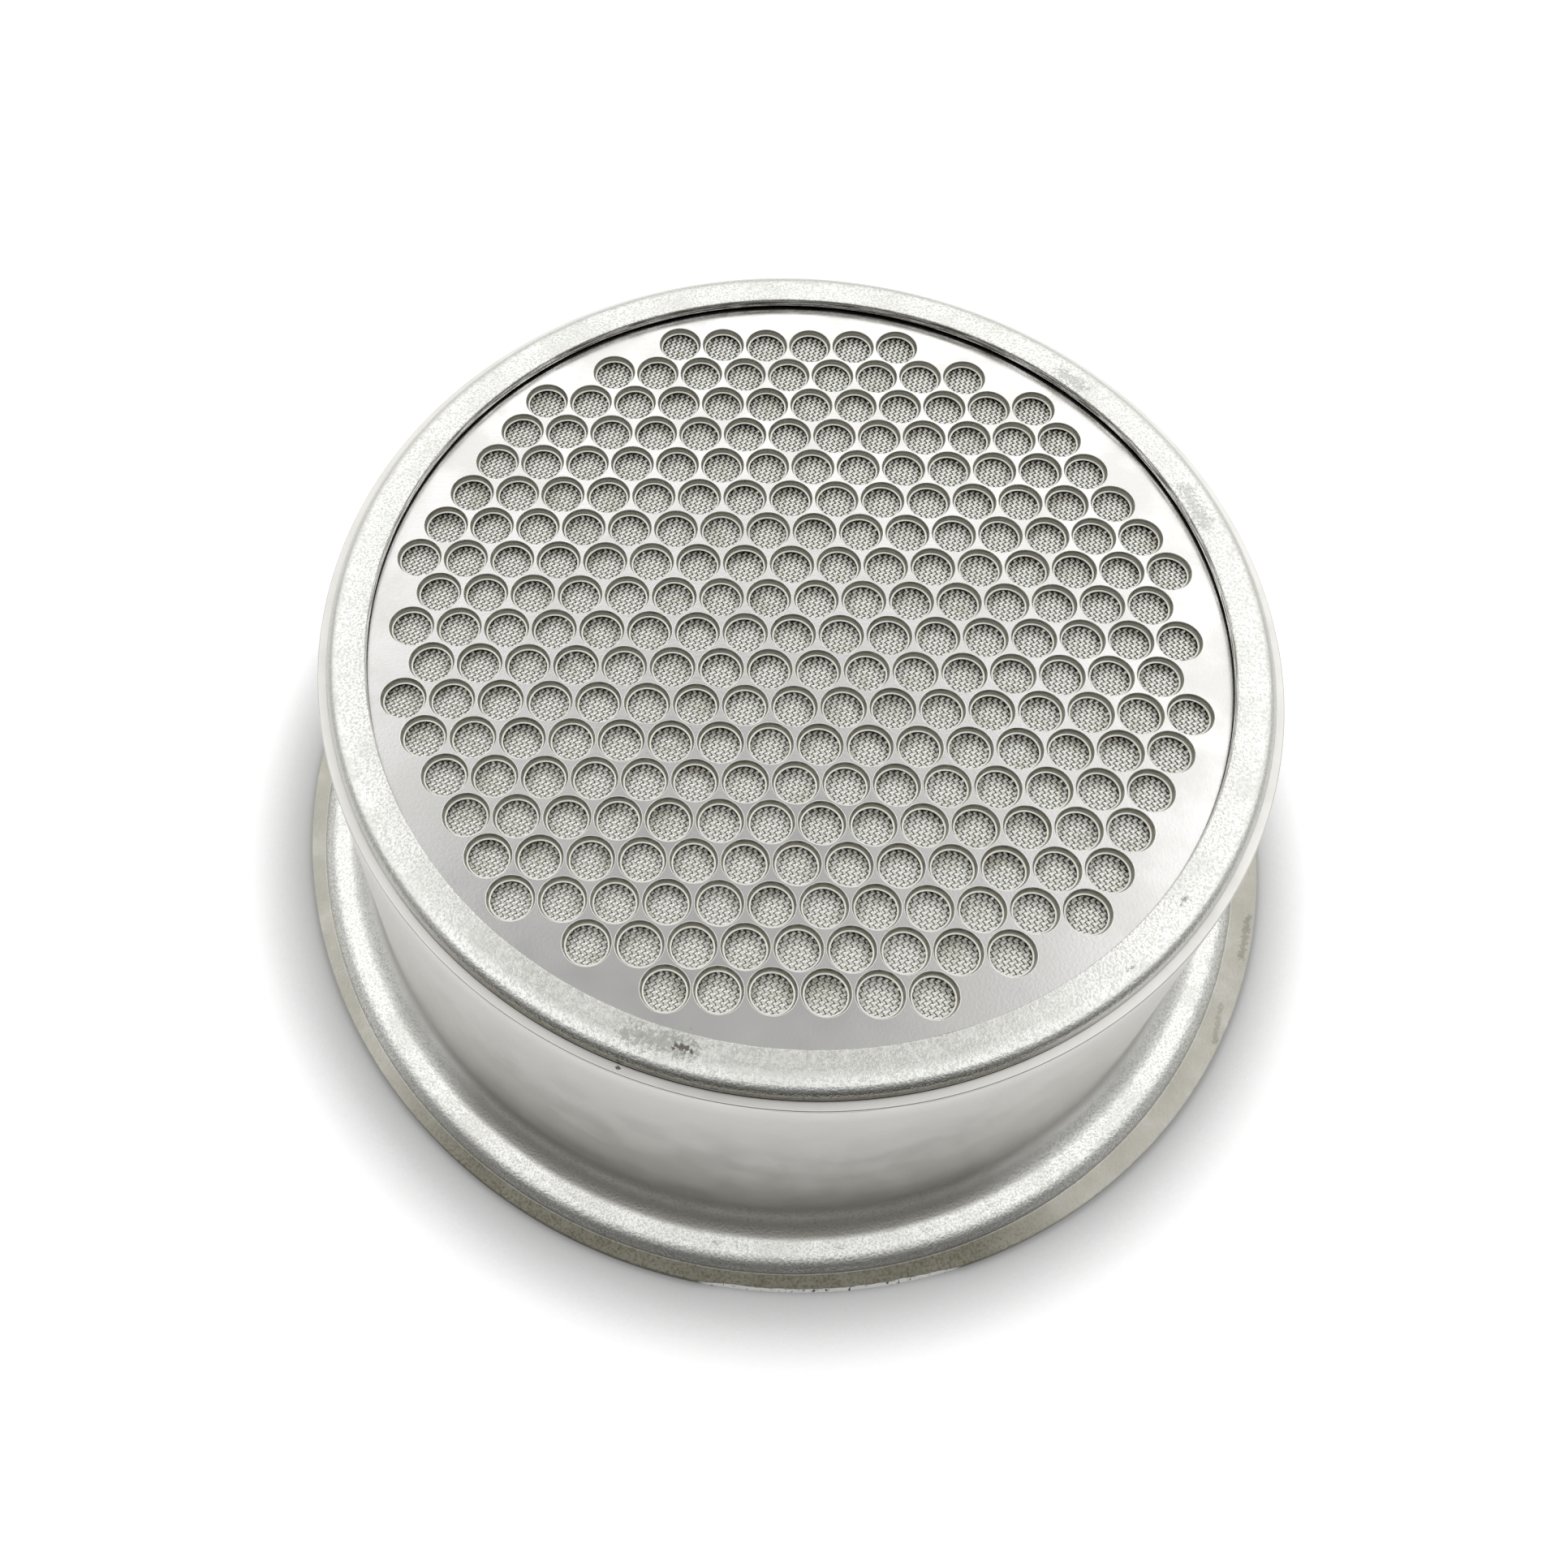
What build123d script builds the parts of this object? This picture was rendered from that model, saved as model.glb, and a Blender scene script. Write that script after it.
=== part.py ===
from build123d import *
from math import atan2, ceil, cos, hypot, pi, radians, sin, sqrt, tan
import os

# Espresso filter basket, standing rim down: a drawn steel cup, a perforated plate that closes it,
# and the woven wire disc under that plate. Millimetres, +Z up, away from the rim.
# The origin is on the cup's axis, in the plane that the rim rests on.

# Cup
sheet = 0.6  # thickness of the drawn sheet
wall_radius = 30.0  # outside of the wall
plate_level = 25.6  # rim's rest plane to the plate's outer face
valley_radius = 1.9  # hollow bend from the wall into the rim, outside

# Rim: a narrow land beyond the hollow bend, a rounded shoulder and a flat lip
land_rise = 0.75  # land above the lip
land_width = 0.15  # hollow bend to the shoulder's bend
shoulder_slope = 50.0  # degrees
shoulder_bend = 1.75  # outer radius of the shoulder's bend
lip_width = 1.5
trim_off_x = 0.40  # the shear cut the lip a little off the cup's axis
trim_off_y = 0.45

# Crimped ring: the wall's end, stepped in and rolled over the plate
step_width = 0.5  # wall to ring
ring_roll = 0.75  # outer radius of the roll
crimp_width = 2.65  # ring's outside to its free edge
crimp_lift = 0.2  # spring-back: the free edge stands this far off the plate
step_drop = 0.4  # step from wall to ring, below the plate's outer face
step_bevel = 0.2
crease = 0.12  # depth of the crease under the ring

# Seat inside the wall's end, which holds the two discs from within
seat_width = 0.7
seat_height = 0.35
seat_slope = 45.0  # degrees, from the seat back to the wall
seat_round = 0.5
disc_clearance = 0.05  # round the discs' edges

# Perforated plate, with holes that the etch leaves wider at the outer face
plate_thickness = 0.5
hole_pitch = 3.0
hole_mouth = 1.40  # hole's radius at the outer face
hole_throat = 1.16  # and at the inner face
hole_sides = 10  # flats that stand for each round hole
pattern_margin = 1.8  # ring's free edge to the outermost centres of holes
pattern_off_x = -0.2  # the holes stand a little off the cup's axis

# Woven wire disc
mesh_thickness = 0.3

# Derived sizes
crest_radius = wall_radius + valley_radius + land_width + shoulder_bend * tan(radians(shoulder_slope) / 2)
foot_radius = crest_radius + land_rise / tan(radians(shoulder_slope))
trim_radius = foot_radius + lip_width
wall_bore = wall_radius - sheet
ring_radius = wall_radius - step_width
crimp_opening = ring_radius - crimp_width
pattern_radius = crimp_opening - pattern_margin
pocket_radius = ring_radius - sheet
disc_radius = pocket_radius - disc_clearance
seat_radius = pocket_radius - seat_width
land_level = sheet + land_rise
plate_floor = plate_level - plate_thickness
seat_level = plate_floor - mesh_thickness
step_level = plate_level - step_drop
crimp_edge_level = plate_level + crimp_lift


def rim_corners(side):
    """Corners (radius, height, bend) of the rim from its edge to the wall, on one side of the sheet."""
    depth = 0.0 if side == "outside" else sheet
    shift = depth * tan(radians(shoulder_slope) / 2)
    blank_radius = trim_radius + hypot(trim_off_x, trim_off_y) + sheet
    return [
        (blank_radius, sheet - depth, 0),
        (foot_radius - shift, sheet - depth, depth),
        (crest_radius - shift, land_level - depth, shoulder_bend - depth),
        (wall_radius - depth, land_level - depth, valley_radius + depth),
    ]


def crimp_corners():
    """Corners of the ring, from the pocket over the plate and round the roll to the wall's step."""
    tilt = atan2(crimp_lift, pocket_radius - crimp_opening)
    roll_level = plate_level + sheet / cos(tilt) - sheet * tan(tilt)
    return [
        (pocket_radius, plate_level, 0),
        (crimp_opening, crimp_edge_level, 0),
        (crimp_opening + sheet * sin(tilt), crimp_edge_level + sheet * cos(tilt), 0),
        (ring_radius, roll_level, ring_roll),
        (ring_radius, step_level + crease, 0),
        (ring_radius - crease, step_level, 0),
        (wall_radius - step_bevel, step_level, 0),
        (wall_radius, step_level - step_bevel, 0),
    ]


def seat_corners():
    """Corners of the seat, from the wall's bore to the pocket that holds the discs."""
    nose_level = seat_level - seat_height
    wall_end = nose_level - (wall_bore - seat_radius) * tan(radians(seat_slope))
    return [
        (wall_bore, wall_end, seat_round),
        (seat_radius, nose_level, 0),
        (seat_radius, seat_level, 0),
        (pocket_radius, seat_level, 0),
    ]


def make_cup():
    """The drawn cup: its section turned about the axis, with the lip sheared off centre."""
    corners = rim_corners("inside") + seat_corners() + crimp_corners() + rim_corners("outside")[::-1]
    points = [(radius, 0, height) for radius, height, bend in corners]
    bends = [bend for radius, height, bend in corners]
    section = make_face(FilletPolyline(*points, radius=bends, close=True))
    shear = Pos(trim_off_x, trim_off_y, 0) * Cylinder(
        trim_radius, crimp_edge_level + 2 * sheet, align=(Align.CENTER, Align.CENTER, Align.MIN)
    )
    return revolve(section, Axis.Z) & shear


def hole_centres():
    """Centres of the staggered rows of holes that fit inside the pattern's radius."""
    row_pitch = hole_pitch * sqrt(3) / 2
    reach = ceil(pattern_radius / row_pitch)
    centres = []
    for row in range(-reach, reach + 1):
        stagger = hole_pitch / 2 if row % 2 else 0
        for column in range(-reach, reach + 1):
            x = column * hole_pitch + stagger
            y = row * row_pitch
            if hypot(x, y) <= pattern_radius:
                centres.append((x + pattern_off_x, y))
    return centres


def hole_corners(radius, level):
    """Corners of every hole at one radius and level, as one list for each hole."""
    turns = [2 * pi * side / hole_sides for side in range(hole_sides)]
    return [
        [Vector(x + radius * cos(turn), y + radius * sin(turn), level) for turn in turns]
        for x, y in hole_centres()
    ]


def hole_walls(throat, mouth):
    """The flats between one hole's throat and its mouth."""
    sides = zip(throat, throat[1:] + throat[:1], mouth[1:] + mouth[:1], mouth)
    return [Face(Wire.make_polygon(side)) for side in sides]


def make_plate():
    """The etched plate, closed from its edge, its two pierced faces and the walls of its holes."""
    throats = hole_corners(hole_throat, plate_floor)
    mouths = hole_corners(hole_mouth, plate_level)
    disc = extrude(Plane.XY.offset(plate_floor) * Circle(disc_radius), plate_thickness)
    lower, edge, upper = disc.faces().sort_by(Axis.Z)
    shell = [
        edge,
        Face(lower.outer_wire(), [Wire.make_polygon(throat) for throat in throats]),
        Face(upper.outer_wire(), [Wire.make_polygon(mouth) for mouth in mouths]),
    ]
    for throat, mouth in zip(throats, mouths):
        shell.extend(hole_walls(throat, mouth))
    return Solid(Shell(shell))


def make_mesh():
    """The woven wire disc, solid here at the cloth's thickness."""
    return extrude(Plane.XY.offset(seat_level) * Circle(disc_radius), mesh_thickness)


os.makedirs("parts", exist_ok=True)
pieces = {
    "cup": make_cup(),
    "perforated_plate": make_plate(),
    "wire_mesh": make_mesh(),
}
for name, piece in pieces.items():
    export_step(piece, f"parts/{name}.step")
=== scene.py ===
import math

import bpy
import numpy as np
from mathutils import Matrix, Vector, geometry


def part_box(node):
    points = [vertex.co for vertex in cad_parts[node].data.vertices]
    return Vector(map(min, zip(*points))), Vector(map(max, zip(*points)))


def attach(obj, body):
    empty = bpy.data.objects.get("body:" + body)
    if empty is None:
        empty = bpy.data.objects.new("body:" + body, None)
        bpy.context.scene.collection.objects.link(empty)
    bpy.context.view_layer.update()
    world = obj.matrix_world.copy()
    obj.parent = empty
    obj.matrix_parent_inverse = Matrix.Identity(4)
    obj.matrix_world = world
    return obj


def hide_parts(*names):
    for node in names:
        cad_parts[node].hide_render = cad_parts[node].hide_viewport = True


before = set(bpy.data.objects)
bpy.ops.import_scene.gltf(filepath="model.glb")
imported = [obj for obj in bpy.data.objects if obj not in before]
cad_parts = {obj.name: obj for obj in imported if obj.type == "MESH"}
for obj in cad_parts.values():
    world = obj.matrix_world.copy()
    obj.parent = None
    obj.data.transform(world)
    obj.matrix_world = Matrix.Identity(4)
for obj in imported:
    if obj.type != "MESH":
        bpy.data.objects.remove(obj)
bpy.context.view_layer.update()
mm = 0.001
cupLow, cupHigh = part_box("cup")
plateLow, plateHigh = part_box("perforated_plate")
meshLow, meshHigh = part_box("wire_mesh")
plateLevel = plateHigh.z / mm
plateFloor = plateLow.z / mm
seatLevel = meshLow.z / mm
print("frame loaded: cup", round((cupHigh.x - cupLow.x) / mm, 2), "mm across its rim")


def linearColour(hexCode):
    # sRGB hex to the linear colour that the sockets take
    values = [int(hexCode[i:i + 2], 16) / 255 for i in (1, 3, 5)]
    return [v / 12.92 if v <= 0.04045 else ((v + 0.055) / 1.055) ** 2.4 for v in values] + [1.0]


def addNode(tree, kind, inputs=None, **settings):
    # adds one shader node, sets its options, then fills its sockets; another node links by its live output
    node = tree.nodes.new("ShaderNode" + kind)
    for name, value in settings.items():
        setattr(node, name, value)
    for socket, value in (inputs or {}).items():
        if isinstance(value, bpy.types.Node):
            value = next(output for output in value.outputs if output.enabled)
        if isinstance(value, bpy.types.NodeSocket):
            tree.links.new(value, node.inputs[socket])
        else:
            node.inputs[socket].default_value = value
    return node


def newMaterial(name):
    # empty node tree with its output and the object's own coordinates in millimetres
    material = bpy.data.materials.new(name)
    material.use_nodes = True
    tree = material.node_tree
    tree.nodes.clear()
    output = addNode(tree, "OutputMaterial")
    coordinates = addNode(tree, "TexCoord")
    place = addNode(tree, "VectorMath", {0: coordinates.outputs["Object"], 3: 1 / mm}, operation="SCALE")
    return material, tree, output, place


def roundAxis(tree, place):
    # x, y, z and the distance from the basket's axis
    parts = addNode(tree, "SeparateXYZ", {0: place}).outputs
    flat = addNode(tree, "CombineXYZ", {0: parts["X"], 1: parts["Y"]})
    return parts["X"], parts["Y"], parts["Z"], addNode(tree, "VectorMath", {0: flat}, operation="LENGTH")


def where(tree, *conditions):
    # product of shares; a range (value, low, high) eases from 0 to 1, or between the two levels that follow
    share = None
    for condition in conditions:
        if isinstance(condition, tuple):
            value, low, high, first, last = condition if len(condition) == 5 else condition + (0.0, 1.0)
            condition = addNode(tree, "MapRange", {0: value, 1: low, 2: high, 3: first, 4: last},
                                interpolation_type="SMOOTHSTEP")
        if share is not None:
            condition = addNode(tree, "Math", {0: share, 1: condition}, operation="MULTIPLY")
        share = condition
    return share


def between(value, low, high, soft):
    # the two ranges of a band from low to high that eases to nothing over the soft width outside it
    return (value, low - soft, low), (value, high, high + soft, 1.0, 0.0)


def addUp(tree, total, *amounts):
    # a value plus others, each times its amount
    for value, amount in amounts:
        total = addNode(tree, "Math", {0: value, 1: amount, 2: total}, operation="MULTIPLY_ADD")
    return total


def pattern(tree, place, size, detail=2.0, roughness=0.5, stretch=(1.0, 1.0, 1.0)):
    # cloudy grain of a real size in millimetres, drawn out along an axis whose stretch is under one
    scaled = addNode(tree, "VectorMath", {0: place, 1: [way / size for way in stretch]}, operation="MULTIPLY")
    return addNode(tree, "TexNoise", {"Vector": scaled, "Scale": 1.0, "Detail": detail,
                                      "Roughness": roughness})


def layColours(tree, finish, first, *layers):
    # the finish's colours laid over the first one, each where its share is one
    colour = linearColour(finish[first])
    for share, name in layers:
        colour = addNode(tree, "Mix", {0: share, 6: colour, 7: linearColour(finish[name])}, data_type="RGBA")
    return colour


def nearLine(tree, place, start, end, width, ragged):
    # one along the line between two points in millimetres, fading raggedly over its width
    way = Vector(end) - Vector(start)
    out = addNode(tree, "VectorMath", {0: place, 1: start}, operation="SUBTRACT")
    dot = addNode(tree, "VectorMath", {0: out, 1: way / way.length_squared}, operation="DOT_PRODUCT")
    share = addNode(tree, "Clamp", {"Value": dot})
    foot = addNode(tree, "VectorMath", {0: way, 3: share}, operation="SCALE")
    away = addNode(tree, "VectorMath", {0: out, 1: foot}, operation="DISTANCE")
    return where(tree, (addUp(tree, away, (ragged, 2.0 * width)), width, 2.0 * width, 1.0, 0.0))


def finishMetal(tree, output, colour, satin, height=None, relief=0.0, strength=1.0):
    # bare metal, with its relief in millimetres if it has any
    metal = {"Base Color": colour, "Metallic": 1.0, "Roughness": satin}
    if height is not None:
        metal["Normal"] = addNode(tree, "Bump", {"Height": height, "Strength": strength,
                                                 "Distance": relief * mm})
    tree.links.new(addNode(tree, "BsdfPrincipled", metal).outputs[0], output.inputs[0])


def circle(radius, sides, x=0.0, y=0.0):
    # points round a circle
    turns = [math.tau * side / sides for side in range(sides)]
    return [(x + radius * math.cos(turn), y + radius * math.sin(turn)) for turn in turns]


def addPiece(name, points, faces, material, sharpAngle):
    # mesh in millimetres to an object in metres that rides on the basket
    mesh = bpy.data.meshes.new(name)
    mesh.from_pydata(np.asarray(points) * mm, [], faces)
    mesh.set_sharp_from_angle(angle=math.radians(sharpAngle))
    curved = [len(face) == 4 for face in faces]  # the flats stay flat
    mesh.polygons.foreach_set("use_smooth", curved)
    mesh.materials.append(material)
    piece = bpy.data.objects.new(name, mesh)
    bpy.context.scene.collection.objects.link(piece)
    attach(piece, "root")
    return piece


# Camera

cameraSettings = {
    "place": (-6.98, -57.25, 119.70),  # mm, close above the front
    "aim": (-10.23, -0.22, 25.60),
    "roll": -1.65,  # degrees
    "lens": 40.3,
    "shift": 0.0963,
}


def placeCamera(settings):
    data = bpy.data.cameras.new("basketCamera")
    data.lens = settings["lens"]
    data.sensor_width = 36
    data.sensor_fit = "HORIZONTAL"
    data.shift_x = settings["shift"]
    data.shift_y = -settings["shift"]
    data.clip_start = 1 * mm
    camera = bpy.data.objects.new("basketCamera", data)
    place = Vector(settings["place"]) * mm
    look = (Vector(settings["aim"]) * mm - place).to_track_quat("-Z", "Y").to_matrix().to_4x4()
    roll = Matrix.Rotation(math.radians(settings["roll"]), 4, "Z")
    camera.matrix_world = Matrix.Translation(place) @ look @ roll
    bpy.context.scene.collection.objects.link(camera)
    bpy.context.scene.camera = camera


placeCamera(cameraSettings)
print("camera placed")


# Cup: one drawn sheet, turned from its section

cup = {
    "sheet": 0.6,
    "wallRadius": 30.0,
    "valleyRadius": 2.1,
    "landRise": 0.75,
    "landWidth": 0.0,
    "shoulderSlope": 50.0,  # degrees
    "shoulderBend": 1.65,
    "lipWidth": 1.485,
    "trimOff": (0.40, 0.45),
    "footBend": 0.1,  # from the shoulder to the lip
    "lipRound": 0.08,  # rolled-over corner that the shears left
    "ringRadius": 29.42,
    "pocketRadius": 28.9,
    "ringRoll": 0.78,
    "ringDome": 3.0,  # the ring's top bows a little between its free edge and its roll
    "ringDrop": 0.06,  # and falls to its outside
    "domeInset": 0.25,  # from the pocket to where the bow is
    "crimpOpening": 26.85,
    "crimpLift": 0.2,
    "crimpRound": 0.1,
    "stepDrop": 0.33,
    "stepRound": 0.1,
    "crease": 0.12,
    "seatRadius": 28.2,
    "seatHeight": 0.35,
    "seatRound": 0.5,
    "turns": 720,  # segments round the axis
    "bendStep": 12.0,  # degrees of a bend between two points of the section
    "runStep": 2.0,  # mm between two points of a straight run
    "tornFrom": 262.0,  # degrees round the axis where the shears tore the edge
    "tornTo": 289.0,
    "tornDepth": 0.17,
    "tornFade": 2.0,  # degrees at each end
    "tornRough": 0.25,  # share of the depth that varies
    "tornLift": 0.15,  # and that the torn metal stands up or down
    "shearRough": 0.01,  # the rest of the sheared edge
    "sharp": 38.0,
}


def bentOutline(corners, step):
    # closed section through its corners (radius, height, bend), with each bend as an arc
    outline = []
    for index, (radius, height, bend) in enumerate(corners):
        corner = Vector((radius, height))
        before = (Vector(corners[index - 1][:2]) - corner).normalized()
        after = (Vector(corners[(index + 1) % len(corners)][:2]) - corner).normalized()
        turn = math.pi - before.angle(after)
        if bend == 0 or turn < 0.01:
            outline.append(corner)
            continue
        centre = corner + (before + after).normalized() * bend / math.cos(turn / 2)
        start = corner + before * bend * math.tan(turn / 2) - centre
        side = 1 if before.cross(after) < 0 else -1
        count = max(2, math.ceil(math.degrees(turn) / step))
        for part in range(count + 1):
            angle = side * turn * part / count
            outline.append(centre + Matrix.Rotation(angle, 2) @ start)
    return outline


def splitLong(outline, longest):
    # extra points on the straight runs, so that the finish has somewhere to vary
    points = []
    for start, end in zip(outline, outline[1:] + outline[:1]):
        count = max(1, math.ceil((end - start).length / longest))
        points.extend(start.lerp(end, part / count) for part in range(count))
    return points


def rimRadii(settings):
    # the shoulder's crest and foot and the lip's edge
    slope = math.radians(settings["shoulderSlope"])
    valley = settings["wallRadius"] + settings["valleyRadius"]
    crest = valley + settings["landWidth"] + settings["shoulderBend"] * math.tan(slope / 2)
    foot = crest + settings["landRise"] / math.tan(slope)
    return crest, foot, foot + settings["lipWidth"]


def cupCorners(settings):
    sheet = settings["sheet"]
    wall = settings["wallRadius"]
    slope = math.radians(settings["shoulderSlope"])
    shift = sheet * math.tan(slope / 2)
    landLevel = sheet + settings["landRise"]
    crest, foot, trim = rimRadii(settings)
    pocket = settings["pocketRadius"]
    nose = seatLevel - settings["seatHeight"]
    edgeLevel = plateLevel + settings["crimpLift"]
    tilt = math.atan2(settings["crimpLift"], pocket - settings["crimpOpening"])
    stepLevel = plateLevel - settings["stepDrop"]
    crease = settings["crease"]
    inside = [
        (trim, 0, settings["lipRound"] / 2),
        (foot - shift, 0, sheet),
        (crest - shift, landLevel - sheet, settings["shoulderBend"] - sheet),
        (wall - sheet, landLevel - sheet, settings["valleyRadius"] + sheet),
        (wall - sheet, nose - (wall - sheet - settings["seatRadius"]), settings["seatRound"]),
        (settings["seatRadius"], nose, settings["seatHeight"] / 2),
        (settings["seatRadius"], seatLevel, 0),
        (pocket, seatLevel, 0),
        (pocket, plateLevel, 0),
    ]
    topLevel = plateLevel + sheet / math.cos(tilt) - sheet * math.tan(tilt)  # the ring's top at its outside
    domeStart = pocket - settings["domeInset"]
    crimp = [
        (settings["crimpOpening"], edgeLevel, settings["crimpRound"] / 2),
        (settings["crimpOpening"] + sheet * math.sin(tilt), edgeLevel + sheet * math.cos(tilt),
         settings["crimpRound"]),
        (domeStart, topLevel + (settings["ringRadius"] - domeStart) * math.tan(tilt) + settings["ringDrop"],
         settings["ringDome"]),
        (settings["ringRadius"], topLevel - settings["ringDrop"], settings["ringRoll"]),
        (settings["ringRadius"], stepLevel + crease, 0),
        (settings["ringRadius"] - crease, stepLevel, 0),
        (wall, stepLevel, settings["stepRound"]),
    ]
    outside = [
        (wall, landLevel, settings["valleyRadius"]),
        (crest, landLevel, settings["shoulderBend"]),
        (foot, sheet, settings["footBend"]),
        (trim, sheet, settings["lipRound"]),
    ]
    return inside + crimp + outside


def turnCup(settings):
    outline = splitLong(bentOutline(cupCorners(settings), settings["bendStep"]), settings["runStep"])
    angles = np.radians(np.arange(settings["turns"]) * 360 / settings["turns"])
    radii = np.array([p.x for p in outline])
    heights = np.array([p.y for p in outline])
    offX, offY = settings["trimOff"]
    along = offX * np.cos(angles) + offY * np.sin(angles)
    across = offX * np.sin(angles) - offY * np.cos(angles)
    _, foot, trim = rimRadii(settings)
    edge = along + np.sqrt(trim ** 2 - across ** 2) - trim
    lipShare = np.clip((radii - foot) / settings["lipWidth"], 0, 1)
    edgeShare = (radii > trim - 1e-4) * 1.0
    biteShare = (radii > trim - settings["lipRound"] - 1e-4) * np.clip(heights / settings["sheet"], 0.1, 1)
    degrees = np.degrees(angles)
    torn = np.minimum(degrees - settings["tornFrom"], settings["tornTo"] - degrees)
    torn = np.clip(torn / settings["tornFade"], 0, 1) * settings["tornDepth"]
    dice = np.random.default_rng(7)
    rough = np.convolve(dice.normal(size=settings["turns"] + 2), [0.25, 0.5, 0.25], "valid")
    bite = -(1 + settings["tornRough"] * rough) * torn - settings["shearRough"] * np.abs(rough)
    lift = dice.normal(size=settings["turns"]) * torn * settings["tornLift"]
    r = radii[None, :] + lipShare[None, :] * edge[:, None] + biteShare[None, :] * bite[:, None]
    z = heights[None, :] + (edgeShare * (heights > settings["sheet"] / 2))[None, :] * lift[:, None]
    z = np.maximum(z, 0)
    points = np.stack([r * np.cos(angles)[:, None], r * np.sin(angles)[:, None], z], -1).reshape(-1, 3)
    count = len(outline)
    faces = []
    for turn in range(settings["turns"]):
        here = turn * count
        there = (turn + 1) % settings["turns"] * count
        for index in range(count):
            following = (index + 1) % count
            faces.append((here + index, here + following, there + following, there + index))
    return points, faces


# Plate: etched sheet whose holes are bowls from both faces that meet in a thin rim

plate = {
    "pitch": 3.0,
    "patternRadius": 25.05,
    "offX": -0.2,  # the holes stand a little off the cup's axis
    "mouth": 1.425,
    "cusp": 1.2,
    "cuspDepth": 0.4,
    "back": 1.26,  # hole's radius at the inner face
    "edgeRound": 0.035,
    "bowl": 0.9,  # 1 would be a quarter of an ellipse
    "backBowl": (0.6, 0.45),  # a point from the cusp to the back, as shares of radius and depth
    "sides": 36,
    "rimSides": 360,
    "sharp": 30.0,
}


def holeCentres(settings):
    rowPitch = settings["pitch"] * math.sqrt(3) / 2
    reach = math.ceil(settings["patternRadius"] / rowPitch)
    centres = []
    for row in range(-reach, reach + 1):
        for column in range(-reach, reach + 1):
            x = (column + 0.5 * (row % 2)) * settings["pitch"]
            y = row * rowPitch
            if math.hypot(x, y) <= settings["patternRadius"]:
                centres.append((x + settings["offX"], y))
    return centres


def holeSection(settings):
    # (radius, depth) from the outer face down to the inner one
    mouth, cusp, rounding = settings["mouth"], settings["cusp"], settings["edgeRound"]
    depth, back = settings["cuspDepth"], settings["back"]
    thickness = plateLevel - plateFloor
    middle = 0.3 * rounding  # of the rounded edge
    section = [(mouth + rounding, 0.0), (mouth + middle, middle)]
    for step in range(1, 5):
        angle = math.radians(90 * step / 4)
        section.append((cusp + (mouth - cusp) * math.cos(angle) ** settings["bowl"],
                        rounding + (depth - rounding) * math.sin(angle)))
    out, down = settings["backBowl"]
    section.append((cusp + (back - cusp) * out, depth + (thickness - depth) * down))
    section.append((back, thickness))
    return section


def etchPlate(settings):
    section = holeSection(settings)
    centres = holeCentres(settings)
    rimRadius = plateHigh.x / mm
    mouth = section[0][0]
    sides, rimSides = settings["sides"], settings["rimSides"]
    loops = [circle(mouth, sides, x, y) for x, y in centres]
    loops.append(circle(rimRadius, rimSides))
    flat = [Vector(p) for loop in loops for p in loop]
    edges = []
    start = 0
    for loop in loops:
        edges.extend((start + i, start + (i + 1) % len(loop)) for i in range(len(loop)))
        start += len(loop)
    _, _, triangles, _, _, _ = geometry.delaunay_2d_cdt(flat, edges, [], 0, 1e-7)
    grid = {}
    for x, y in centres:
        grid.setdefault((round(x / settings["pitch"]), round(y / settings["pitch"])), []).append((x, y))

    def inHole(x, y):
        column, row = round(x / settings["pitch"]), round(y / settings["pitch"])
        near = [c for i in (-1, 0, 1) for j in (-1, 0, 1) for c in grid.get((column + i, row + j), [])]
        return any(math.hypot(x - cx, y - cy) < mouth * 0.995 for cx, cy in near)  # clear of rounding

    kept = []
    for triangle in triangles:
        middle = sum((flat[i] for i in triangle), Vector((0, 0))) / 3
        if not inHole(middle.x, middle.y):
            kept.append(tuple(triangle))
    points = [(p.x, p.y, plateLevel) for p in flat]
    faces = list(kept)
    loopStarts = []  # for each hole, where the points of each level start
    for index, (x, y) in enumerate(centres):
        starts = [index * sides]
        for radius, depth in section[1:]:
            starts.append(len(points))
            points.extend((a, b, plateLevel - depth) for a, b in circle(radius, sides, x, y))
        loopStarts.append(starts)
        for top, low in zip(starts, starts[1:]):
            for side in range(sides):
                after = (side + 1) % sides
                faces.append((top + side, top + after, low + after, low + side))
    rimTop = len(centres) * sides
    rimLow = len(points)
    points.extend((a, b, plateFloor) for a, b in circle(rimRadius, rimSides))
    for side in range(rimSides):
        after = (side + 1) % rimSides
        faces.append((rimTop + side, rimLow + side, rimLow + after, rimTop + after))

    def below(index):
        # the same point of the flat face, on the inner face
        if index >= rimTop:
            return rimLow + index - rimTop
        return loopStarts[index // sides][-1] + index % sides

    faces.extend(tuple(below(i) for i in reversed(t)) for t in kept)
    return points, faces


# Cloth: plain-woven wire under the plate, real wires where the holes show them

cloth = {
    "spacing": 0.25,  # wire to wire; the real cloth is about 0.2
    "wire": 0.15,  # diameter
    "weaveAngle": 32.0,  # degrees between the wires and the rows of holes
    "patchRadius": 1.33,  # wires run this far from the middle of each hole
    "backing": 0.14,  # thickness left as a sheet below the wires
    "crimp": 0.05,  # each wire rises and falls by this
    "flat": 0.4,  # the wires' upper edges lie this share of their half thickness below their top
    "parts": 4,
    "shadowOff": 0.4,  # the painted shadow and brown film start nearer to each hole's back
    "shadowFrom": 0.7,
    "shadowFade": 0.6,
    "rimSides": 256,
    "sharp": 60.0,
}


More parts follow.
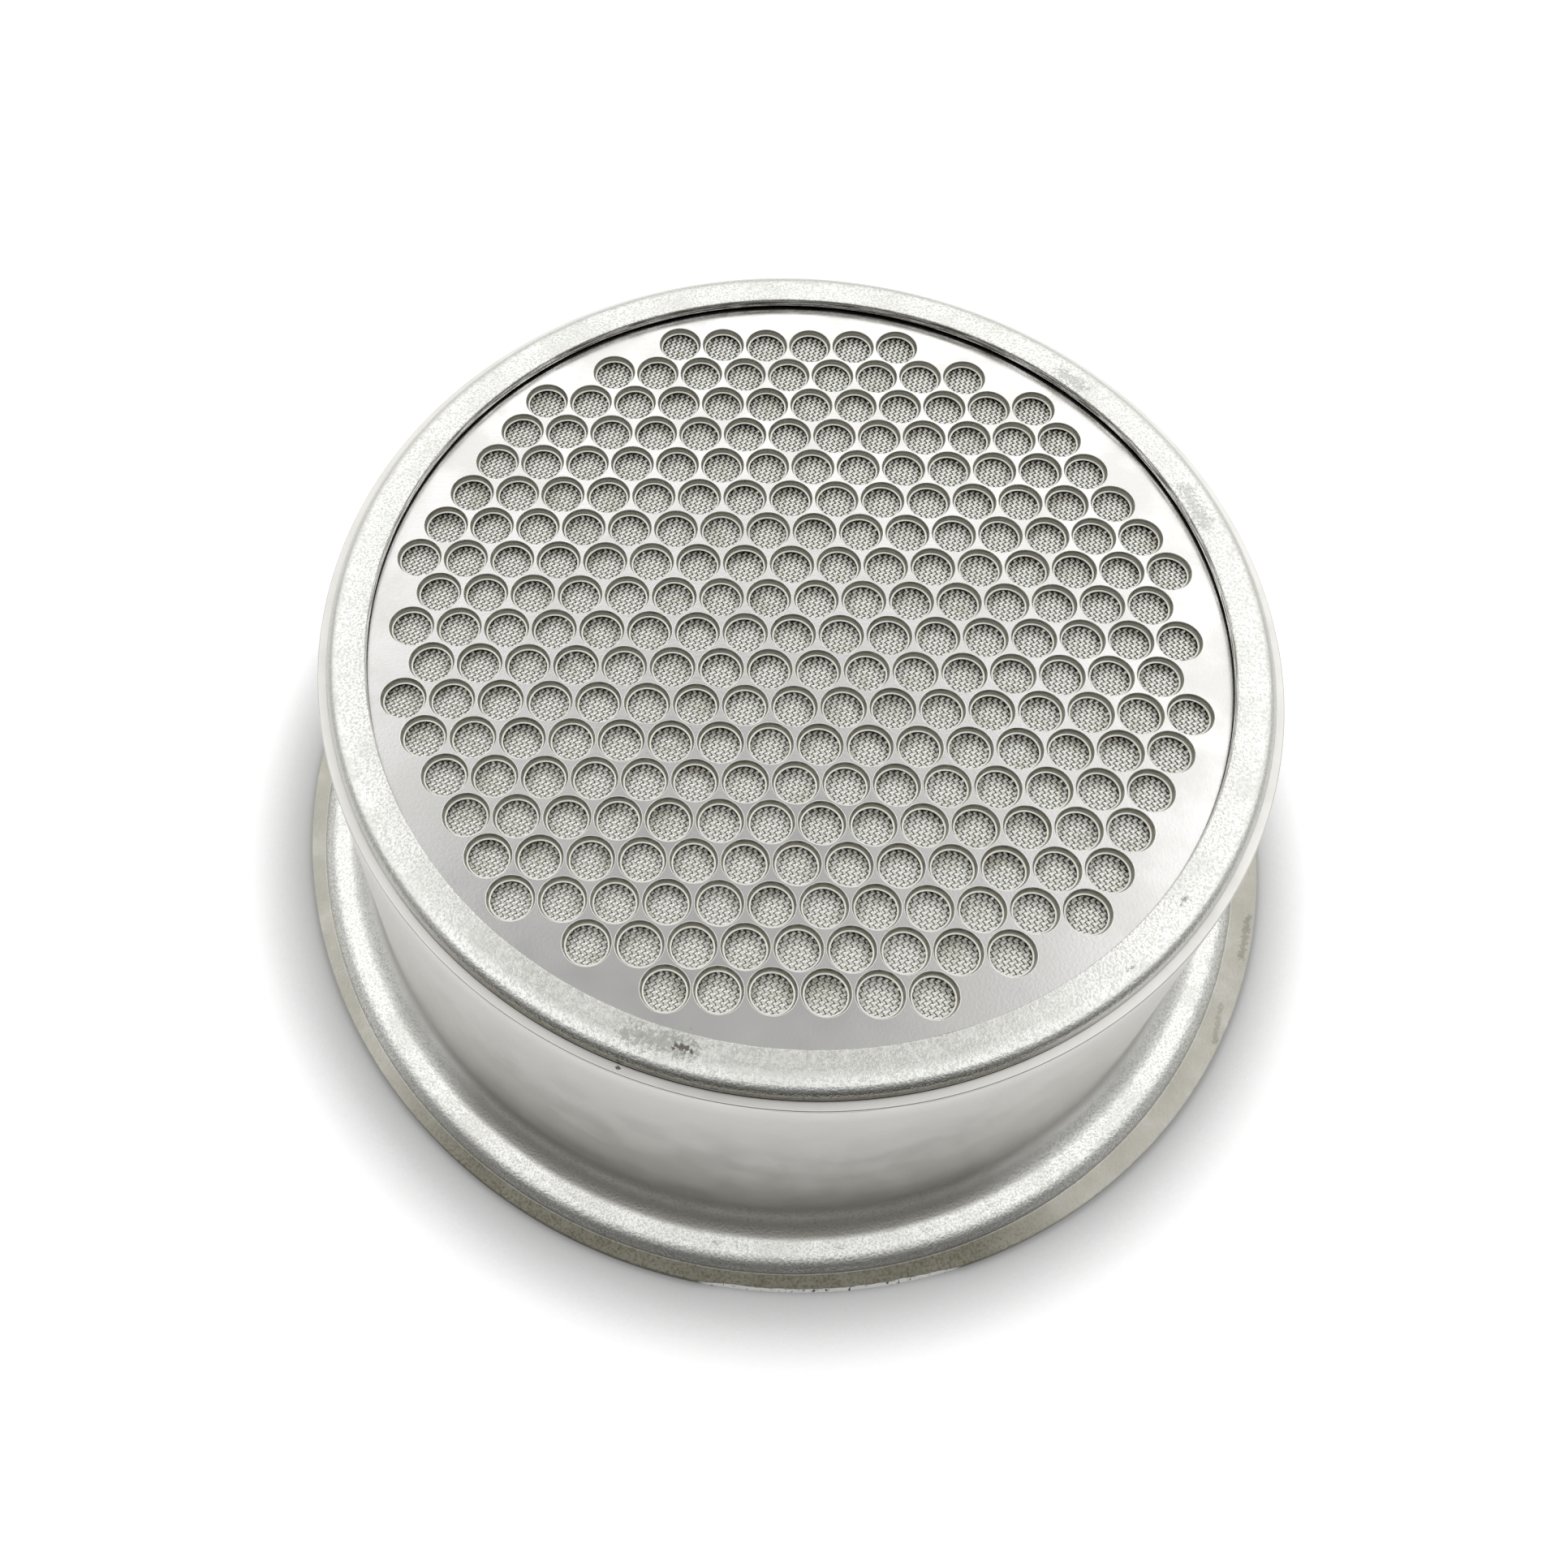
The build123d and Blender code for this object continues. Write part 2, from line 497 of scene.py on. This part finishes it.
def weaveWires(settings, centres):
    # three-sided wires, one triangle-wave rise and fall for each crossing
    spacing = settings["spacing"]
    turn = Matrix.Rotation(math.radians(settings["weaveAngle"]), 2)
    back = turn.inverted()
    half = settings["wire"] / 2
    edge = settings["flat"] * half
    middle = plateFloor - half - settings["crimp"]
    reach = settings["patchRadius"]
    points, faces, shadeAndFilm = [], [], []
    for centre in centres:
        u0, v0 = back @ Vector(centre)
        for way in (0, 1):
            here, there = (u0, v0) if way == 0 else (v0, u0)
            first = math.ceil((there - reach) / spacing)
            last = math.floor((there + reach) / spacing)
            for line in range(first, last + 1):
                chord = math.sqrt(max(reach ** 2 - (line * spacing - there) ** 2, 0))
                if chord < spacing:
                    continue
                begin = math.ceil((here - chord) / spacing * 2)
                end = math.floor((here + chord) / spacing * 2)
                base = len(points)
                for knot in range(begin, end + 1):
                    phase = 0
                    if knot % 2 == 0:
                        phase = 1 if (knot // 2 + line + way) % 2 else -1
                    top = middle + phase * settings["crimp"] + half
                    for offset, drop in ((-half, edge), (half, edge), (0, 2 * half)):
                        a, b = knot * spacing / 2, line * spacing + offset
                        x, y = turn @ Vector((a, b) if way == 0 else (b, a))
                        points.append((x, y, top - drop))
                        # painted shadow and brown film, growing towards each hole's far side
                        away = math.hypot(x - centre[0], y - centre[1] + settings["shadowOff"])
                        shadeAndFilm.append(min(max((away - settings["shadowFrom"]) / settings["shadowFade"], 0), 1))
                for step in range(end - begin):
                    p = base + 3 * step
                    for side in range(3):
                        q = (side + 1) % 3
                        quad = (p + side, p + q, p + 3 + q, p + 3 + side)
                        faces.append(quad[::-1] if way == 0 else quad)
                stop = base + 3 * (end - begin)
                caps = [(base, base + 1, base + 2), (stop, stop + 2, stop + 1)]
                faces.extend(cap if way == 0 else cap[::-1] for cap in caps)
    return points, faces, shadeAndFilm


def clothSheet(settings):
    # backing disc on the CAD disc's own outline
    rim = meshHigh.x / mm
    top = seatLevel + settings["backing"]
    sides = settings["rimSides"]
    points = [(x, y, level) for level in (seatLevel, top) for x, y in circle(rim, sides)]
    faces = [tuple(reversed(range(sides))), tuple(range(sides, 2 * sides))]
    faces += [(i, (i + 1) % sides, sides + (i + 1) % sides, sides + i) for i in range(sides)]
    return points, faces


# Materials

# a pattern is its size in mm, detail, roughness and stretch
drawnFinish = {
    "colour": "#ededea",
    "dull": "#d0d0ca",
    "wall": "#d6d4cf",
    "frontShadeAndWear": "#b3b4ad",  # painted shade on the ring's flat inner half at the front, mottled by rubbing
    "shadedRoll": "#cbcbc6",  # painted shade on the ring's roll, weakest at the front where its highlight stays
    "lip": "#c4c2b8",
    "shadeAndGrime": "#696556",  # painted shade on the lip, in the hollow, on the shoulder's outer slope and under the ring, darkest at the front, with some dried film
    "creaseStainAndShade": "#33231f",  # reddish brown residue and painted shade in the crease under the ring
    # painted shade under the ring's free edge
    "gap": "#1b1714",
    "dirt": "#56524a",
    "shorn": "#6f6b62",
    "line": "#a9a5a6",
    "torn": "#fafaf8",  # bare metal where the shears tore it
    "peel": (0.17, 3.0, 0.65),  # grain that stretching raised on the bends
    "clouds": (3.0, 4.0, 0.6),  # uneven sheen
    "scuffs": (0.5, 4.0, 0.7),  # rubbed places on the ring
    "specks": (0.22, 3.0, 0.7),  # what makes the marks ragged
    "ragged": 5.0,
    "streaks": (0.6, 3.0, 0.6, (1.0, 1.0, 0.06)),  # up the wall
    "drawLines": (0.25, 2.0, 0.6, (0.02, 1.0, 1.0)),  # round it
    "patches": (6.0,),  # breaks in the line along the step
    "serration": (0.35, 3.0, 0.7, (1.0, 1.0, 0.4)),  # teeth of the torn edge
    "edgeLines": (0.09, 2.0, 0.6, (0.03, 1.0, 1.0)),  # across the ring's sheared edge
    "relief": 0.042,  # mm
    "roughness": (0.21, 0.29),
}

# where each zone of the cup's finish starts and is full, in mm
cupZones = {
    "crest": (-0.3, 0.1),  # the ring, from the plate's outer face
    "shoulder": (3.0, 1.6),  # the rim's bends, going down
    "lip": (0.75, 0.68),  # its flat top, just over the sheet
    "sheared": (0.59, 0.5),  # the lip's edge below its rounded corner
    "hollow": (4.6, 2.4),  # between the wall and the rim, going down
    "slope": (-0.9, -0.2),  # the shoulder's slope, from the lip's start
    "frontShadeAndWear": (28.7, 28.0),  # radii on the ring
    "shadedRoll": (28.5, 29.1),  # out to its roll
    "frontMiddle": -98.0,  # degrees round the axis
    "front": (0.4, 0.9),  # radians to either side of the front's middle
}

# dark and worn places on the cup: start, end, half width in mm, strength
cupMarks = [
    ((-9.6, -26.3, 26.3), (-6.4, -27.0, 26.3), 0.34, 0.4),
    ((-7.0, -26.9, 26.3), (-6.3, -27.05, 26.3), 0.13, 0.5),
    ((-10.25, -27.63, 25.7), (-10.15, -27.9, 25.2), 0.06, 0.9),
    ((21.4, -17.9, 26.3), (21.7, -17.6, 26.3), 0.09, 0.6),
    ((18.0, -21.9, 26.2), (18.3, -21.7, 26.2), 0.07, 0.5),
    ((26.2, 8.5, 26.3), (25.4, 11.0, 26.3), 0.35, 0.3),
    ((19.5, 19.5, 26.3), (18.3, 20.7, 26.3), 0.3, 0.3),
    ((32.9, -11.0, 0.6), (33.9, -8.0, 0.6), 0.12, 0.25),
    ((31.0, -14.5, 0.6), (30.2, -17.2, 0.6), 0.1, 0.2),
]


def makeDrawnSteel(finish, zones, marks):
    # deep-drawn stainless sheet: satin wall, and an orange-peel grain where the bends stretched it
    material, tree, output, place = newMaterial("drawn stainless steel")
    x, y, z, radius = roundAxis(tree, place)
    angle = addNode(tree, "Math", {0: y, 1: x}, operation="ARCTAN2")
    arc = addNode(tree, "Math", {0: angle, 1: cup["wallRadius"]}, operation="MULTIPLY")
    unrolled = addNode(tree, "CombineXYZ", {0: arc, 2: z})  # the wall laid flat, mm round it and up it
    peel, clouds, scuffs, specks = [pattern(tree, place, *finish[name])
                                    for name in ("peel", "clouds", "scuffs", "specks")]
    streaks, drawLines, patches, serration, edgeLines = [
        pattern(tree, unrolled, *finish[name])
        for name in ("streaks", "drawLines", "patches", "serration", "edgeLines")]

    # zones of the cup, from the ring down to the lip's edge
    lipStart = rimRadii(cup)[1]
    ring, opening, wall = cup["ringRadius"], cup["crimpOpening"], cup["wallRadius"]
    stepLevel = plateLevel - cup["stepDrop"]
    crestStart, crestFull = (plateLevel + off for off in zones["crest"])
    crest = where(tree, (z, crestStart, crestFull))
    shoulder = where(tree, (z, *zones["shoulder"]))
    bends = addNode(tree, "Math", {0: crest, 1: shoulder}, operation="MAXIMUM")
    onWall = where(tree, (bends, 0.0, 1.0, 0.85, 0.0))
    hollow = where(tree, *between(radius, wall - 0.1, wall + 1.25, 0.5), (z, *zones["hollow"]))
    slopeStart, slopeFull = (lipStart + off for off in zones["slope"])
    slope = where(tree, (radius, slopeStart, slopeFull, 0.0, 0.5), shoulder)
    lip = where(tree, (radius, lipStart - 0.1, lipStart + 0.1), (z, *zones["lip"]))
    edge = where(tree, (z, *zones["sheared"]), (radius, lipStart + 0.4, lipStart + 0.6))
    torn = where(tree, edge, *between(angle, math.radians(cup["tornFrom"] - 360),
                                      math.radians(cup["tornTo"] - 360), 0.02))
    offFront = addNode(tree, "Math", {0: angle, 1: -math.radians(zones["frontMiddle"])}, operation="ADD")
    offFront = addNode(tree, "Math", {0: offFront}, operation="ABSOLUTE")
    front = where(tree, (offFront, *zones["front"], 1.0, 0.0))

    # painted shade and dirt: painted shade with some dried film in the hollow, under the ring, on the lip and
    # the slope; residue and painted shade in the crease; and the dirt marks
    underRing = where(tree, (z, plateLevel + 0.5, plateLevel + 0.28),
                      *between(radius, ring - 0.4, ring + 0.01, 0.01))
    # painted shade, darkest at the front, mixed with some dried film
    shadeAndFilm = addNode(tree, "Math", {0: hollow, 1: 0.75}, operation="MULTIPLY")
    for shadedPlace in (underRing, lip, slope):
        shadeAndFilm = addNode(tree, "Math", {0: shadeAndFilm, 1: shadedPlace}, operation="MAXIMUM")
    # the crease under the ring, where residue and painted shade go
    crease = where(tree, *between(z, stepLevel - 0.02, stepLevel + 0.3, 0.04),
                   (radius, ring + 0.02, ring - 0.03))
    ragged = addNode(tree, "Math", {0: specks, 1: 0.5}, operation="SUBTRACT")
    ragged = addNode(tree, "Math", {0: ragged, 1: finish["ragged"]}, operation="MULTIPLY")
    wear = addUp(tree, 0.0, *[(nearLine(tree, place, start, end, width, ragged), strength)
                              for start, end, width, strength in marks])
    wear = addNode(tree, "Clamp", {"Value": wear})

    colour = layColours(
        tree, finish, "colour",
        (where(tree, (clouds, 0.4, 0.7, 0.0, 0.45)), "dull"),
        (onWall, "wall"),
        # painted shade on the ring's flat inner half at the front, mottled by rubbing
        (where(tree, crest, front, (radius, *zones["frontShadeAndWear"], 0.0, 0.8),
               (scuffs, 0.4, 0.55, 0.5, 1.0)), "frontShadeAndWear"),
        # painted shade on the ring's roll away from the front
        (where(tree, crest, (radius, *zones["shadedRoll"], 0.0, 0.9),
               (front, 0.0, 1.0, 1.0, 0.2)), "shadedRoll"),
        (where(tree, (peel, 0.46, 0.6), bends), "dull"),
        (where(tree, lip, (clouds, 0.25, 0.5, 0.75, 1.0)), "lip"),
        # painted shade with some dried film, darkest at the front
        (where(tree, shadeAndFilm, (front, 0.0, 1.0, 0.15, 1.0), (peel, 0.3, 0.6, 1.0, 0.75)), "shadeAndGrime"),
        (where(tree, *between(z, stepLevel - 0.2, stepLevel - 0.12, 0.04),
               (patches, 0.4, 0.6, 0.2, 0.9)), "line"),
        # residue and painted shade in the crease, strongest at the front
        (where(tree, crease, (front, 0.0, 1.0, 0.35, 1.0)), "creaseStainAndShade"),
        (torn, "torn"),
        (where(tree, torn, (serration, 0.44, 0.34)), "shorn"),
        # painted shade under the ring's free edge, and the sheared edge itself shows fine lines
        (where(tree, *between(z, plateLevel - 0.05, plateLevel + 0.21, 0.03),
               (radius, wall - 1.1, wall - 1.2)), "gap"),
        (where(tree, (radius, opening + 0.1, opening + 0.06),
               *between(z, plateLevel + 0.25, plateLevel + 0.7, 0.03), (edgeLines, 0.42, 0.55)), "shorn"),
        (wear, "dirt"))

    # even satin, duller on the lip and in the dirt
    satin = addUp(tree, where(tree, (clouds, 0.35, 0.7, *finish["roughness"])),
                  (lip, 0.25), (wear, 0.25), (hollow, 0.2), (onWall, 0.12), (torn, 0.5))

    # peel on the bends, drawing lines and streaks on the wall, torn metal on the edge
    drawn = addNode(tree, "Math", {0: drawLines, 1: 0.02}, operation="MULTIPLY")
    drawn = addUp(tree, drawn, (streaks, 0.05))
    height = addUp(tree, where(tree, peel, (bends, 0.0, 1.0, 0.02, 1.0)),
                   (drawn, onWall), (where(tree, edge, serration), 4.0))
    finishMetal(tree, output, colour, satin, height, finish["relief"])
    return material


etchedFinish = {
    "colour": "#ecebe9",
    "cloudy": "#e0dfdc",
    "wall": "#c2c0b4",  # the etched walls of the holes stay duller than the rolled face
    "edge": "#f6f6f4",  # painted highlight along the holes' rounded mouths
    "speck": "#8d8b84",
    "gap": "#1b1714",  # under the ring, where the light doesn't reach
    "grain": (0.2, 3.0, 0.6),
    "clouds": (5.0, 4.0, 0.55),  # uneven sheen
    "rolled": (0.35, 3.0, 0.6, (0.05, 1.0, 1.0)),  # lines that the mill's rolls left
    "specks": (0.6, 5.0, 0.8),
    "relief": 0.0035,  # mm
    "roughness": (0.17, 0.25),
}


def makeEtchedSteel(finish):
    # photo-etched stainless sheet: smooth rolled face with specks, duller walls in the holes, and painted
    # highlights on the holes' mouths and cusps
    material, tree, output, place = newMaterial("etched stainless sheet")
    _, _, z, radius = roundAxis(tree, place)
    grain, clouds, rolled, specks = [pattern(tree, place, *finish[name])
                                     for name in ("grain", "clouds", "rolled", "specks")]
    cuspLevel = plateLevel - plate["cuspDepth"]
    deep = where(tree, (z, plateLevel - 0.03, plateLevel - 0.1))
    # painted highlight: a bright line round each hole's mouth, fainter on its cusp
    cusp = where(tree, *between(z, cuspLevel - 0.01, cuspLevel + 0.02, 0.02))
    cusp = addNode(tree, "Math", {0: cusp, 1: 0.35}, operation="MULTIPLY")
    edge = where(tree, *between(z, plateLevel - 0.035, plateLevel - 0.006, 0.005))
    edge = addNode(tree, "Math", {0: edge, 1: cusp}, operation="MAXIMUM")
    colour = layColours(
        tree, finish, "colour",
        (where(tree, (clouds, 0.4, 0.65)), "cloudy"),
        (where(tree, (specks, 0.68, 0.74, 0.0, 0.6)), "speck"),
        (deep, "wall"),
        (edge, "edge"),
        (where(tree, (radius, cup["crimpOpening"], cup["crimpOpening"] + 0.08)), "gap"))
    satin = addUp(tree, where(tree, (clouds, 0.3, 0.7, *finish["roughness"])), (deep, 0.12), (edge, 0.3))
    finishMetal(tree, output, colour, satin, addUp(tree, grain, (rolled, 0.5)), finish["relief"])
    return material


wireFinish = {
    "highlitKnuckle": "#ebebe6",  # tops of the wires, painted lighter: a painted highlight
    "side": "#a5a59c",
    "stained": "#bebbae",
    "between": "#8c8b80",  # painted shade along the lower rows of knuckles
    "shadeAndFilm": "#46402f",  # painted shadow at each hole's far side, browned like dried coffee
    "patches": (1.5, 3.0, 0.6),
    "grain": (0.08, 2.0, 0.6),
    "roughness": (0.26, 0.42),
}


def makeWireSteel(finish, settings):
    # woven stainless wire: painted highlight on the knuckles over darker sides, painted shade between the
    # rows, and a painted shadow with brown film at the back of each hole
    material, tree, output, place = newMaterial("woven stainless wire")
    z = addNode(tree, "SeparateXYZ", {0: place}).outputs["Z"]
    patches, grain = [pattern(tree, place, *finish[name]) for name in ("patches", "grain")]
    height = where(tree, (z, plateFloor - 0.16, plateFloor - 0.02))
    slant = math.radians(45 - settings["weaveAngle"])  # knuckles line up between the two ways of the wires
    turned = addNode(tree, "VectorRotate", {"Vector": place, "Angle": slant}, rotation_type="Z_AXIS")
    acrossRows = addNode(tree, "SeparateXYZ", {0: turned}).outputs["Y"]
    wave = math.tau / (settings["spacing"] * math.sqrt(2))
    rowShade = addNode(tree, "Math", {0: acrossRows, 1: wave}, operation="MULTIPLY")
    rowShade = addNode(tree, "Math", {0: rowShade}, operation="SINE")
    shadowAndCoffee = addNode(tree, "Attribute", attribute_name="shadeAndFilm").outputs["Fac"]
    colour = layColours(
        tree, finish, "side",
        # painted highlight on the tops of the wires
        (height, "highlitKnuckle"),
        (where(tree, (patches, 0.5, 0.7, 0.0, 0.6)), "stained"),
        # painted shade between the rows of knuckles
        (where(tree, (rowShade, 0.3, -0.8, 0.0, 0.4)), "between"),
        # painted shadow with brown film at the back of each hole
        (where(tree, shadowAndCoffee, (patches, 0.35, 0.6, 0.65, 1.0), (height, 0.0, 1.0, 1.0, 0.55)), "shadeAndFilm"))
    finishMetal(tree, output, colour, where(tree, (grain, 0.3, 0.7, *finish["roughness"])))
    return material


clothFinish = {
    # painted highlight on the weave's tops, over its sides
    "top": "#ebebe6",
    "side": "#a5a59c",
    "stained": "#bebbae",
    "weave": 0.5,  # mm; the real weave is twice as fine, drawn coarser so that it can be seen
    "patches": (2.5, 3.0, 0.6),
    "relief": 0.06,  # mm
    "roughness": (0.3, 0.45),
}


def makeClothSteel(finish, settings):
    # the cloth's lower half and underside: the same weave as relief, with its tops painted lighter than its
    # sides as painted light and shade
    material, tree, output, place = newMaterial("stainless wire cloth")
    slant = -math.radians(settings["weaveAngle"])
    turned = addNode(tree, "VectorRotate", {"Vector": place, "Angle": slant}, rotation_type="Z_AXIS")
    parts = addNode(tree, "SeparateXYZ", {0: turned}).outputs
    waves = []
    for way in ("X", "Y"):
        phase = addNode(tree, "Math", {0: parts[way], 1: math.pi / finish["weave"]}, operation="MULTIPLY")
        waves.append(addNode(tree, "Math", {0: phase}, operation="SINE"))
    weave = addNode(tree, "Math", {0: where(tree, *waves), 1: 0.5, 2: 0.5}, operation="MULTIPLY_ADD")
    patches = pattern(tree, place, *finish["patches"])
    colour = layColours(tree, finish, "side", (weave, "top"),
                        (where(tree, (patches, 0.5, 0.7, 0.0, 0.6)), "stained"))
    satin = where(tree, (patches, 0.3, 0.7, *finish["roughness"]))
    finishMetal(tree, output, colour, satin, weave, finish["relief"], 0.6)
    return material


drawnSteel = makeDrawnSteel(drawnFinish, cupZones, cupMarks)
etchedSteel = makeEtchedSteel(etchedFinish)
wireSteel = makeWireSteel(wireFinish, cloth)
clothSteel = makeClothSteel(clothFinish, cloth)
print("materials made:", len(bpy.data.materials))

cupPoints, cupFaces = turnCup(cup)
drawnCup = addPiece("drawnCup", cupPoints, cupFaces, drawnSteel, cup["sharp"])
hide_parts("cup")
print("cup:", len(cupFaces), "faces")

platePoints, plateFaces = etchPlate(plate)
etchedPlate = addPiece("etchedPlate", platePoints, plateFaces, etchedSteel, plate["sharp"])
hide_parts("perforated_plate")
print("plate:", len(plateFaces), "faces")

sheetPoints, sheetFaces = clothSheet(cloth)
clothBacking = addPiece("clothBacking", sheetPoints, sheetFaces, clothSteel, cloth["sharp"])
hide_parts("wire_mesh")
centres = holeCentres(plate)
share = math.ceil(len(centres) / cloth["parts"])
for part in range(cloth["parts"]):
    wirePoints, wireFaces, wireShadow = weaveWires(cloth, centres[part * share:(part + 1) * share])
    wires = addPiece(f"clothWires{part + 1}", wirePoints, wireFaces, wireSteel, cloth["sharp"])
    wires.data.attributes.new("shadeAndFilm", "FLOAT", "POINT").data.foreach_set("value", wireShadow)
    print("cloth part", part + 1, len(wireFaces), "faces")


# Floor and light

stage = {
    "floorReach": 0.26,  # m, a small table in a dim room
    "floorColour": "#bcbcbc",
    "glow": 0.71,  # what lifts the floor to white where nothing is near it
    "nearness": 10.0,  # mm, reach of the soft shadow round the basket
    "falloff": 7.5,  # how fast the glow goes where the basket hides the sky
    "sky": 0.12,  # light from where no lamp hangs
    "lampEdge": (0.6, 1.4),  # a lamp fades over this part of its half size
    "horizon": (0.06, 0.12),  # heights up to which metal sees the white backdrop
    "backdropFrom": (-0.5, 0.1),  # and how far round from the back
}

# soft lamps round the table: degrees off the zenith to the right and to the back, half sizes, level
lamps = [
    ((2, 20), (66, 50), 0.74),
    ((0, 0), (92, 56), 0.26),
    ((-31, 12), (15, 28), 0.4),
    ((32, 14), (16, 30), 0.4),
    ((0, 62), (80, 24), 0.45),
    ((1, 19), (12, 14), -0.74),  # dark gap between the lamps, where the camera's stand hangs
]


def makeFloor(settings):
    bpy.ops.mesh.primitive_plane_add(size=settings["floorReach"])
    floor = bpy.context.object
    floor.name = "floor"
    material, tree, output, _ = newMaterial("white table")
    rays = addNode(tree, "LightPath").outputs
    seen = addNode(tree, "Math", {0: rays["Is Camera Ray"], 1: rays["Is Glossy Ray"]}, operation="MAXIMUM")
    openSky = addNode(tree, "AmbientOcclusion", {"Distance": settings["nearness"] * mm}, samples=16)
    clear = addNode(tree, "Math", {0: openSky.outputs["AO"], 1: settings["falloff"]}, operation="POWER")
    level = addNode(tree, "Math", {0: clear, 1: settings["glow"]}, operation="MULTIPLY")
    table = addNode(tree, "BsdfDiffuse", {"Color": linearColour(settings["floorColour"])})
    glow = addNode(tree, "Emission", {"Strength": level})
    both = addNode(tree, "AddShader", {0: table, 1: glow})
    mix = addNode(tree, "MixShader", {0: seen, 1: table, 2: both})
    tree.links.new(mix.outputs[0], output.inputs[0])
    floor.data.materials.append(material)


def makeSky(settings, lamps):
    # a dim room with soft lamps overhead, laid out on a map of the sky in degrees off the zenith
    world = bpy.data.worlds.new("softRoom")
    bpy.context.scene.world = world
    world.use_nodes = True
    tree = world.node_tree
    tree.nodes.clear()
    way = addNode(tree, "TexCoord").outputs["Generated"]
    _, y, z, reach = roundAxis(tree, way)
    tilt = addNode(tree, "Math", {0: reach, 1: z}, operation="ARCTAN2")
    tilt = addNode(tree, "Math", {0: tilt}, operation="DEGREES")
    spread = addNode(tree, "Math", {0: reach, 1: 1e-4}, operation="MAXIMUM")
    spread = addNode(tree, "Math", {0: tilt, 1: spread}, operation="DIVIDE")
    skyMap = addNode(tree, "VectorMath", {0: way, 3: spread}, operation="SCALE")
    level = settings["sky"]
    for (right, back), (halfWide, halfDeep), strength in lamps:
        out = addNode(tree, "VectorMath", {0: skyMap, 1: (right, back, 0)}, operation="SUBTRACT")
        sizes = (1 / halfWide, 1 / halfDeep, 0)
        scaled = addNode(tree, "VectorMath", {0: out, 1: sizes}, operation="MULTIPLY")
        away = addNode(tree, "VectorMath", {0: scaled}, operation="LENGTH")
        lamp = where(tree, (away, *settings["lampEdge"], strength, 0.0))
        level = addNode(tree, "Math", {0: level, 1: lamp}, operation="ADD")
    rays = addNode(tree, "LightPath").outputs
    mirrored = where(tree, rays["Is Glossy Ray"], (z, *settings["horizon"], 1.0, 0.0),
                     (y, *settings["backdropFrom"]))  # metal sees the white backdrop too
    seen = addNode(tree, "Math", {0: rays["Is Camera Ray"], 1: mirrored}, operation="MAXIMUM")
    room = addNode(tree, "Background", {"Color": (1, 1, 1, 1), "Strength": level})
    backdrop = addNode(tree, "Background", {"Color": (1, 1, 1, 1), "Strength": 1.0})
    mix = addNode(tree, "MixShader", {0: seen, 1: room, 2: backdrop})
    tree.links.new(mix.outputs[0], addNode(tree, "OutputWorld").inputs[0])


makeFloor(stage)
makeSky(stage, lamps)
bpy.context.scene.view_settings.view_transform = "Standard"
print("stage made")
